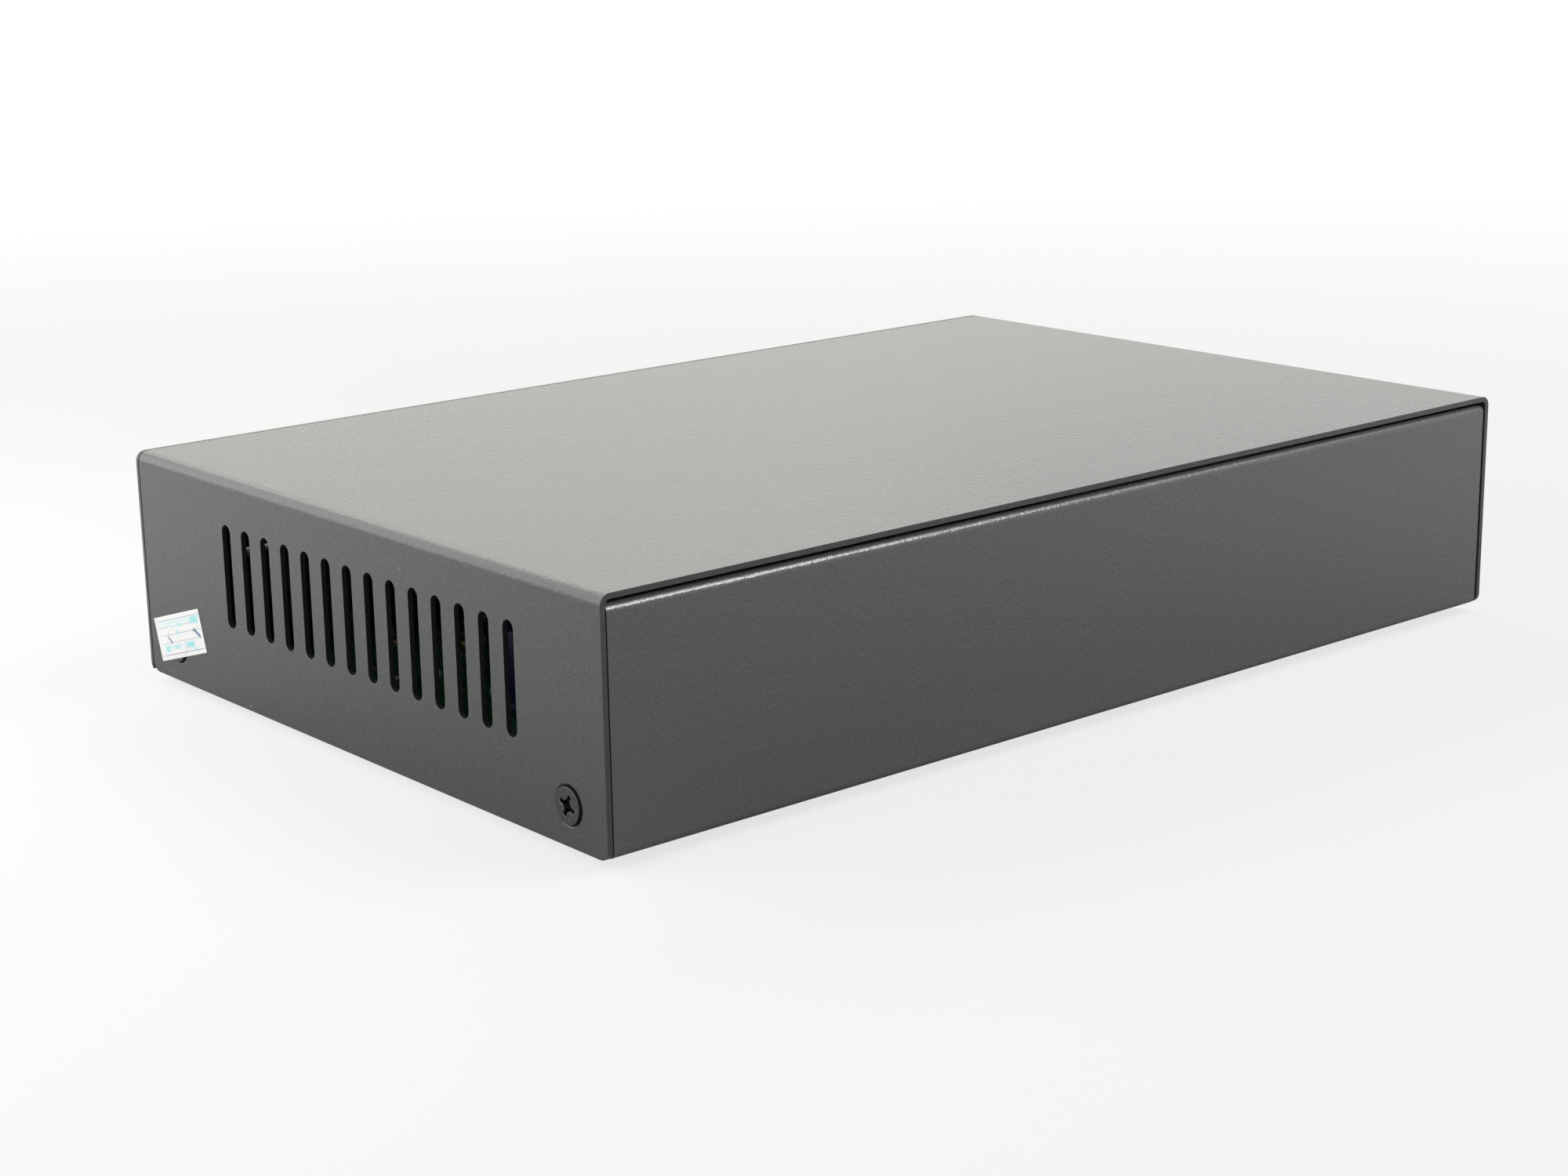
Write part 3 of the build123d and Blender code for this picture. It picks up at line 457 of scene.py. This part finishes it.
def solderMaskedLaminate(values):
    # Glass epoxy board under green solder mask: glossy, with copper tracks that show as paler
    # raised lines, and a bare straw-coloured sawn edge.
    material, add = newMaterial("solderMaskedLaminate")
    where = add("ShaderNodeTexCoord", {}, "Object")
    along = [add("ShaderNodeSeparateXYZ", {0: where}, axis) for axis in ("X", "Y")]
    # Tracks run along or across the board by zones, with bare stretches between them
    zone = add(
        "ShaderNodeTexVoronoi",
        {"Vector": where, "Scale": 1000 / values["zoneSize"]},
        "Color",
        distance="CHEBYCHEV",
    )
    turned = add("ShaderNodeSeparateColor", {0: zone}, "Red")
    turned = add("ShaderNodeMath", {0: turned, 1: 0.5}, operation="GREATER_THAN")
    place = add("ShaderNodeMix", {0: turned, 2: along[0], 3: along[1]})
    halfPitch, halfWidth = metres((values["trackPitch"] / 2, values["trackWidth"] / 2))
    place = add("ShaderNodeMath", {0: place, 1: halfPitch}, operation="PINGPONG")
    track = add("ShaderNodeMath", {0: place, 1: halfWidth}, operation="LESS_THAN")
    patch = {"Vector": where, "Scale": 1000 / values["patchSize"], "Detail": 0.0}
    patch = add("ShaderNodeTexNoise", patch)
    patch = add("ShaderNodeMath", {0: patch, 1: 0.5}, operation="GREATER_THAN")
    track = add("ShaderNodeMath", {0: track, 1: patch}, operation="MULTIPLY")
    colour = add(
        "ShaderNodeMix",
        {0: track, 6: linear(values["mask"]), 7: linear(values["maskOverCopper"])},
        2,
        data_type="RGBA",
    )
    facing = add("ShaderNodeSeparateXYZ", {0: add("ShaderNodeTexCoord", {}, "Normal")}, "Z")
    facing = add("ShaderNodeMath", {0: facing}, operation="ABSOLUTE")
    edge = add("ShaderNodeMath", {0: facing, 1: 0.5}, operation="LESS_THAN")
    colour = add(
        "ShaderNodeMix", {0: edge, 6: colour, 7: linear(values["sawnEdge"])}, 2, data_type="RGBA"
    )
    normal = add("ShaderNodeBevel", {"Radius": metres(values["edge"])}, samples=values["edgeSamples"])
    normal = add(
        "ShaderNodeBump",
        {"Height": track, "Distance": metres(values["copperThickness"]), "Normal": normal},
    )
    surface = {"Base Color": colour, "Roughness": values["roughness"], "IOR": values["ior"]}
    shader = add("ShaderNodeBsdfPrincipled", {**surface, "Normal": normal})
    add("ShaderNodeOutputMaterial", {"Surface": shader})
    return material


dress(["main_board"], solderMaskedLaminate(boardValues))

print("stage: plain finishes")
finishValues = {
    # finish: two colours of its mottling, roughness, metallic, IOR where it isn't metal, and grain
    # size, grain depth and edge radius in mm. The real grains of most are finer than 0.1 mm, and
    # are drawn coarser because they wouldn't show.
    # Black nickel on cold-headed steel: smoky metal with a sheen, and glints on every small edge
    "blackNickelledSteel": ("#6C6E6E", "#585A5A", 0.3, 1.0, None, 0.5, 0.01, 0.16),
    # Moulded rubber: black, bloomed to a dull charcoal and softly pitted
    "mouldedRubber": ("#1E1E1F", "#29292A", 0.75, 0.0, 1.5, 0.6, 0.03, 0.25),
    # Bright zinc with a clear passivate: pale and slightly blue
    "zincPlatedSteel": ("#C9CCCF", "#B4B8BC", 0.3, 1.0, None, 0.8, 0.004, 0.1),
    # Glass-filled PBT from a polished mould: black satin
    "mouldedPbt": ("#121213", "#1B1B1C", 0.42, 0.0, 1.57, 0.3, 0.006, 0.08),
    # Nickel on rolled brass sheet, a little tarnished: grey silver, blurred by the rolling grain
    "nickelPlatedSheet": ("#9E9C95", "#8C8A83", 0.5, 1.0, None, 1.2, 0.004, 0.05),
    # Hard gold over nickel on bronze wire: yellow, nearly a mirror
    "goldPlatedWire": ("#E6B95C", "#D6A748", 0.2, 1.0, None, 0.4, 0.001, 0.04),
    # Nickel on turned brass: bright, with fine turning marks
    "nickelPlatedBrass": ("#D2CDC2", "#C3BEB2", 0.18, 1.0, None, 0.3, 0.002, 0.06),
    # Tin over copper, dipped: pale and a little cloudy
    "tinnedCopper": ("#CDCFCE", "#B7B9B8", 0.32, 1.0, None, 0.4, 0.003, 0.03),
    # Epoxy moulding compound: near black, with the matt of a blasted mould
    "mouldedEpoxy": ("#19191B", "#232326", 0.62, 0.0, 1.55, 0.2, 0.01, 0.06),
    # Extruded aluminium, anodised black: deep, with a soft sheen along the fins
    "blackAnodisedAluminium": ("#2B2C2E", "#36373A", 0.42, 1.0, None, 0.7, 0.006, 0.1),
    # Silicone filled with ceramic powder: soft grey and dull
    "siliconePad": ("#8F959B", "#858B91", 0.8, 0.0, 1.43, 0.5, 0.02, 0.15),
    # Pressed and fired ferrite: dark grey, slightly glossy, pitted
    "pressedFerrite": ("#37383A", "#2A2B2D", 0.45, 0.0, 1.8, 0.4, 0.02, 0.15),
    # Drawn nickel silver: bright, softly blurred
    "drawnNickelSilver": ("#CBC8C2", "#BFBCB5", 0.26, 1.0, None, 0.6, 0.003, 0.12),
    # White polyphthalamide lamp body: bright and matt
    "mouldedPpa": ("#E9E8E1", "#DFDED6", 0.55, 0.0, 1.6, 0.3, 0.006, 0.05),
    # Fired barium titanate of the smallest capacitors: tan and smooth
    "firedCeramic": ("#A88B66", "#97794F", 0.4, 0.0, 1.7, 0.4, 0.004, 0.05),
}
grainValues = {
    # what all these finishes share
    "detail": 3.0,
    "mottle": (0.35, 0.65),  # of the noise, from the first colour to the second
    "blur": (0.3, 0.7),  # of the noise, from the lowest roughness to the highest
    "blurSpread": 0.1,  # of the roughness, to either side of it
    "edgeSamples": 4,
}


def plainFinish(name, finish, values):
    first, second, roughness, metallic, ior, grainSize, grainDepth, edge = finish
    material, add = newMaterial(name)
    where = add("ShaderNodeTexCoord", {}, "Object")
    grain = {"Vector": where, "Scale": 1000 / grainSize, "Detail": values["detail"]}
    grain = add("ShaderNodeTexNoise", grain)
    start, end = values["mottle"]
    amount = add("ShaderNodeMapRange", {"Value": grain, "From Min": start, "From Max": end})
    colour = add(
        "ShaderNodeMix", {0: amount, 6: linear(first), 7: linear(second)}, 2, data_type="RGBA"
    )
    start, end = values["blur"]
    rough = add(
        "ShaderNodeMapRange",
        {
            "Value": grain,
            "From Min": start,
            "From Max": end,
            "To Min": roughness * (1 - values["blurSpread"]),
            "To Max": roughness * (1 + values["blurSpread"]),
        },
    )
    normal = add("ShaderNodeBevel", {"Radius": metres(edge)}, samples=values["edgeSamples"])
    normal = add("ShaderNodeBump", {"Height": grain, "Distance": metres(grainDepth), "Normal": normal})
    inputs = {"Base Color": colour, "Roughness": rough, "Metallic": metallic, "Normal": normal}
    if ior:  # a metal keeps the default
        inputs["IOR"] = ior
    add("ShaderNodeOutputMaterial", {"Surface": add("ShaderNodeBsdfPrincipled", inputs)})
    return material


finishes = {name: plainFinish(name, finish, grainValues) for name, finish in finishValues.items()}
magnetics = [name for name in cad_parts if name.startswith("magnetics")]
dress(["cover_screws"], finishes["blackNickelledSteel"])
dress(nodesEnding("_foot"), finishes["mouldedRubber"])
dress(["pcb_standoffs", "pcb_screws"], finishes["zincPlatedSteel"])
dress(nodesEnding("_housing") + ["power_socket_body"], finishes["mouldedPbt"])
dress(nodesEnding("_shield"), finishes["nickelPlatedSheet"])
dress(nodesEnding("_wires"), finishes["goldPlatedWire"])
dress(["power_socket_pin", "power_socket_leaf"], finishes["nickelPlatedBrass"])
dress(nodesEnding("_controller") + magnetics, finishes["mouldedEpoxy"])
dress(["switch_chip", "voltage_regulator", "flash_chip"], finishes["mouldedEpoxy"])
dress(["heat_sink"], finishes["blackAnodisedAluminium"])
dress(["thermal_pad"], finishes["siliconePad"])
dress(nodesEnding("_coil"), finishes["pressedFerrite"])
dress(["crystal"], finishes["drawnNickelSilver"])
dress(nodesEnding("_led"), finishes["mouldedPpa"])

print("stage: lenses and light pipes")
lensValues = {
    "first": "#E2E8E2",
    "second": "#CFDACF",
    "haze": 1.5,  # size of its cloudy patches
    "hazeStretch": (0.3, 0.7),  # of the noise, from the first colour to the second
    "roughness": 0.12,
    "ior": 1.58,
    "clearness": 0.25,
    "edge": 0.08,  # radius
    "edgeSamples": 4,
}


def clearPolycarbonate(values):
    # Injection-moulded polycarbonate: milky clear with glossy faces
    material, add = newMaterial("clearPolycarbonate")
    where = add("ShaderNodeTexCoord", {}, "Object")
    haze = add("ShaderNodeTexNoise", {"Vector": where, "Scale": 1000 / values["haze"], "Detail": 1.0})
    start, end = values["hazeStretch"]
    amount = add("ShaderNodeMapRange", {"Value": haze, "From Min": start, "From Max": end})
    colour = add(
        "ShaderNodeMix",
        {0: amount, 6: linear(values["first"]), 7: linear(values["second"])},
        2,
        data_type="RGBA",
    )
    normal = add("ShaderNodeBevel", {"Radius": metres(values["edge"])}, samples=values["edgeSamples"])
    shader = add(
        "ShaderNodeBsdfPrincipled",
        {
            "Base Color": colour,
            "Roughness": values["roughness"],
            "IOR": values["ior"],
            "Transmission Weight": values["clearness"],
            "Normal": normal,
        },
    )
    add("ShaderNodeOutputMaterial", {"Surface": shader})
    return material


dress(nodesEnding("_lenses") + nodesEnding("_light_pipe"), clearPolycarbonate(lensValues))

print("stage: capacitor cans")
canValues = {
    "sleeve": "#1B2546",
    "stripe": "#9AA3B5",
    "metal": "#C6C8CB",
    # painted shade in the vent's scored groove
    "score": "#7E8084",
    "sleeveLip": 1.1,  # the sleeve's shrunk edge on the can's top
    "topDepth": 0.3,  # how far down from its highest point the can counts as its top
    "stripeWidth": 1.8,
    "scoreWidth": 0.3,  # vent scored across the top
    "scoreDepth": 0.1,
    "shrinkSize": 2.0,  # ripples of the shrunk sleeve
    "roughness": (0.2, 0.38),
    "edge": 0.15,  # radius
    "edgeSamples": 4,
}


def sleevedCan(node, values):
    # Drawn aluminium can in a shrunk PVC sleeve: dark blue and glossy, with the pale stripe of the
    # negative side. The top is bare metal with a scored vent, whose groove is painted darker as shade.
    material, add = newMaterial("sleeved_" + node)
    low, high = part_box(node)
    where = add("ShaderNodeTexCoord", {}, "Object")
    middle = (Vector(low) + Vector(high)) / 2
    local = add("ShaderNodeVectorMath", {0: where, 1: middle}, operation="SUBTRACT")
    flat = add("ShaderNodeVectorMath", {0: local, 1: (1, 1, 0)}, operation="MULTIPLY")
    radius = add("ShaderNodeVectorMath", {0: flat}, "Value", operation="LENGTH")
    x, y, z = (add("ShaderNodeSeparateXYZ", {0: local}, axis) for axis in "XYZ")
    inside = (high[0] - low[0]) / 2 - metres(values["sleeveLip"])
    bare = add("ShaderNodeMath", {0: radius, 1: inside}, operation="LESS_THAN")
    topStart = high[2] - middle.z - metres(values["topDepth"])
    onTop = add("ShaderNodeMath", {0: z, 1: topStart}, operation="GREATER_THAN")
    bare = add("ShaderNodeMath", {0: bare, 1: onTop}, operation="MULTIPLY")
    offX, offY = (add("ShaderNodeMath", {0: value}, operation="ABSOLUTE") for value in (x, y))
    nearest = add("ShaderNodeMath", {0: offX, 1: offY}, operation="MINIMUM")
    score = add(
        "ShaderNodeMath", {0: nearest, 1: metres(values["scoreWidth"] / 2)}, operation="LESS_THAN"
    )
    score = add("ShaderNodeMath", {0: score, 1: bare}, operation="MULTIPLY")
    stripe = add(
        "ShaderNodeMath", {0: offY, 1: metres(values["stripeWidth"] / 2)}, operation="LESS_THAN"
    )
    ahead = add("ShaderNodeMath", {0: x, 1: 0.0}, operation="GREATER_THAN")
    stripe = add("ShaderNodeMath", {0: stripe, 1: ahead}, operation="MULTIPLY")
    colour = linear(values["sleeve"])
    # the vent's score is painted darker: painted shade in its groove
    for amount, name in ((stripe, "stripe"), (bare, "metal"), (score, "score")):
        colour = add(
            "ShaderNodeMix", {0: amount, 6: colour, 7: linear(values[name])}, 2, data_type="RGBA"
        )
    shrink = add("ShaderNodeTexNoise", {"Vector": where, "Scale": 1000 / values["shrinkSize"]})
    smooth, dull = values["roughness"]
    rough = add("ShaderNodeMapRange", {"Value": shrink, "To Min": smooth, "To Max": dull})
    normal = add("ShaderNodeBevel", {"Radius": metres(values["edge"])}, samples=values["edgeSamples"])
    groove = {"Height": score, "Distance": metres(values["scoreDepth"]), "Normal": normal}
    normal = add("ShaderNodeBump", groove, invert=True)
    shader = add(
        "ShaderNodeBsdfPrincipled",
        {"Base Color": colour, "Roughness": rough, "Metallic": bare, "Normal": normal},
    )
    add("ShaderNodeOutputMaterial", {"Surface": shader})
    return material


for node in [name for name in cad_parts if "_capacitor_" in name]:
    dress([node], sleevedCan(node, canValues))

print("stage: leads and small parts")
boardTop = nodeBox("main_board")[1].z
outwards = {"N": (0, 1, 0), "S": (0, -1, 0), "E": (1, 0, 0), "W": (-1, 0, 0)}
leadValues = {
    # chip: sides with leads, leads on a side, pitch, width, thickness, reach, height at the body
    "switch_chip": ("NSEW", 32, 0.5, 0.24, 0.15, 1.1, 0.7),
    "left_poe_controller": ("NSEW", 14, 0.5, 0.24, 0.15, 1.0, 0.6),
    "right_poe_controller": ("NSEW", 14, 0.5, 0.24, 0.15, 1.0, 0.6),
    "flash_chip": ("EW", 4, 1.27, 0.42, 0.2, 1.3, 0.9),
    "voltage_regulator": ("S", 5, 1.7, 0.8, 0.5, 4.2, 2.2),
    **{name: ("NS", 12, 1.1, 0.45, 0.25, 1.2, 1.5) for name in magnetics},
}
leadBend = {
    # gull wings: out of the body, down beside it, and flat on the board
    "sunk": 0.05,  # into the body
    "shoulder": 0.3,  # of the reach, where the lead turns down
    "heel": 0.5,  # of the reach, where it lies flat
}
plateValues = {
    # solderable plate: node it sits at, side, width, height and reach
    "voltage_regulator": (("N", 9.0, 1.3, 1.6),),
    "core_supply_coil": (("E", 4.0, 2.4, 0.25), ("W", 4.0, 2.4, 0.25)),
    "port_supply_coil": (("E", 4.0, 2.4, 0.25), ("W", 4.0, 2.4, 0.25)),
}
smallPartValues = {
    "length": 1.6,
    "width": 0.8,
    "height": 0.65,
    "terminal": 0.3,
    "step": (4.6, 3.3),  # from place to place, along X and Y
    "margin": 2.6,  # to the board's edge and to any larger part
    "screwHead": 5.6,  # of the screws that hold the board
    "lowest": 0.5,  # a larger part reaches past this height over the board
    "widest": 100.0,  # a node wider than this spans the board
    "plating": 1.02,  # a terminal's size next to its body's
    "share": 0.45,  # of the free places that are filled
    "seed": 11,
}


def addBlock(shape, middle, size):
    spread = Matrix.Translation(metres(middle)) @ Matrix.Diagonal((*metres(size), 1))
    bmesh.ops.create_cube(shape, size=1, matrix=spread)


def addStrip(shape, start, outward, path, width, thickness):
    # A flat strip of metal, bent along a path of distances out and up from where it starts
    sideways = Vector((-outward.y, outward.x, 0)) * width / 2
    rings = []
    for i, (out, up) in enumerate(path):
        before = Vector(path[max(i - 1, 0)])
        after = Vector(path[min(i + 1, len(path) - 1)])
        along = (after - before).normalized() * thickness / 2
        ring = []
        for side, lift in ((-1, -1), (1, -1), (1, 1), (-1, 1)):
            place = start + outward * (out - lift * along.y) + sideways * side
            place.z += up + lift * along.x
            ring.append(shape.verts.new(metres(place)))
        rings.append(ring)
    for first, second in zip(rings, rings[1:]):
        for i in range(4):
            j = (i + 1) % 4
            shape.faces.new((first[i], first[j], second[j], second[i]))
    shape.faces.new(rings[0])
    shape.faces.new(rings[-1])


def finishPiece(name, shape, material):
    bmesh.ops.recalc_face_normals(shape, faces=shape.faces)
    mesh = bpy.data.meshes.new(name)
    shape.to_mesh(mesh)
    shape.free()
    mesh.materials.append(material)
    piece = bpy.data.objects.new(name, mesh)
    bpy.context.scene.collection.objects.link(piece)
    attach(piece, "root")


def sideOf(node, side):  # middle of one side of a part, at the board
    low, high = nodeBox(node)
    outward = Vector(outwards[side])
    middle = (low + high) / 2
    reach = outward.x * (high.x - low.x) / 2 + outward.y * (high.y - low.y) / 2
    place = middle + Vector((abs(outward.x), abs(outward.y), 0)) * reach
    place.z = boardTop
    return place, outward


def makeLeads(values, bend):
    for node, (sides, count, pitch, width, thickness, reach, height) in values.items():
        shape = bmesh.new()
        flat = thickness / 2
        shoulder, heel = bend["shoulder"] * reach, bend["heel"] * reach
        path = ((-bend["sunk"], height), (shoulder, height), (heel, flat), (reach, flat))
        for side in sides:
            place, outward = sideOf(node, side)
            sideways = Vector((-outward.y, outward.x, 0))
            for n in range(count):
                start = place + sideways * (n - (count - 1) / 2) * pitch
                addStrip(shape, start, outward, path, width, thickness)
        finishPiece(node + "_leads", shape, finishes["tinnedCopper"])


def makePlates(values):
    for node, plates in values.items():
        shape = bmesh.new()
        for side, width, height, reach in plates:
            place, outward = sideOf(node, side)
            middle = place + outward * reach / 2
            middle.z += height / 2
            size = (width, reach, height) if outward.y else (reach, width, height)
            addBlock(shape, middle, size)
        finishPiece(node + "_plates", shape, finishes["tinnedCopper"])


def makeSmallParts(values):
    # Chip capacitors and resistors in whatever the larger parts leave free
    boxes = [nodeBox(name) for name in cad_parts]
    # A node that spans the board, such as the cover or all the screws, takes no room as a whole
    lowest, widest = boardTop + values["lowest"], values["widest"]
    boxes = [(a, b) for a, b in boxes if a.z < lowest < b.z and b.x - a.x < widest]
    low, high = nodeBox("pcb_screws")
    head = values["screwHead"] / 2
    rows = (low.y + head, (low.y + high.y) / 2, high.y - head)
    heads = [Vector((x, y, 0)) for x in (low.x + head, high.x - head) for y in rows]
    low, high = nodeBox("main_board")
    margin = values["margin"]
    draw = random.Random(values["seed"])
    shapes = {"capacitors": bmesh.new(), "resistors": bmesh.new(), "terminals": bmesh.new()}
    stepX, stepY = values["step"]
    body = values["length"] - 2 * values["terminal"]
    for column in range(int((high.x - low.x - 2 * margin) / stepX)):
        for row in range(int((high.y - low.y - 2 * margin) / stepY)):
            place = Vector((low.x + margin + column * stepX, low.y + margin + row * stepY, 0))
            place.z = boardTop + values["height"] / 2
            chosen = draw.random() < values["share"]
            kind = draw.choice(("capacitors", "resistors"))
            along = draw.choice((Vector((1, 0, 0)), Vector((0, 1, 0))))
            free = all(
                place.x < a.x - margin
                or place.x > b.x + margin
                or place.y < a.y - margin
                or place.y > b.y + margin
                for a, b in boxes
            )
            free = free and all((place - screw).xy.length > head + margin for screw in heads)
            if not (chosen and free):
                continue
            across = Vector((along.y, along.x, 0))
            size = along * body + across * values["width"]
            addBlock(shapes[kind], place, (size.x, size.y, values["height"]))
            size = along * values["terminal"] + across * values["width"] * values["plating"]
            tall = values["height"] * values["plating"]
            for end in (-1, 1):
                tip = place + along * end * (values["length"] - values["terminal"]) / 2
                addBlock(shapes["terminals"], tip, (size.x, size.y, tall))
    finishPiece("chip_capacitors", shapes["capacitors"], finishes["firedCeramic"])
    finishPiece("chip_resistors", shapes["resistors"], finishes["mouldedEpoxy"])
    finishPiece("chip_terminals", shapes["terminals"], finishes["tinnedCopper"])


foamValues = {
    "width": 1.6,
    "thickness": 0.7,
    "sheet": 0.8,  # thickness of the face plate
    "clearance": 0.03,  # to the plate, the shield and the board
}


def makeFoam(values):
    # Conductive foam stuck behind the face plate, which closes the gap round each row of sockets
    width, thickness, clearance = values["width"], values["thickness"], values["clearance"]
    shape = bmesh.new()
    middleY = nodeBox("base_tray")[0].y + values["sheet"] + clearance + thickness / 2
    for node in nodesEnding("_shield"):
        low, high = nodeBox(node)
        bottom = max(low.z, boardTop) + clearance
        top = high.z + clearance
        for x in (low.x - clearance - width / 2, high.x + clearance + width / 2):
            size = (width, thickness, top + width - bottom)
            addBlock(shape, (x, middleY, (bottom + top + width) / 2), size)
        size = (high.x - low.x, thickness, width)
        addBlock(shape, ((low.x + high.x) / 2, middleY, top + width / 2), size)
    finishPiece("socket_foam", shape, finishes["mouldedRubber"])


makeLeads(leadValues, leadBend)
makePlates(plateValues)
makeFoam(foamValues)
makeSmallParts(smallPartValues)
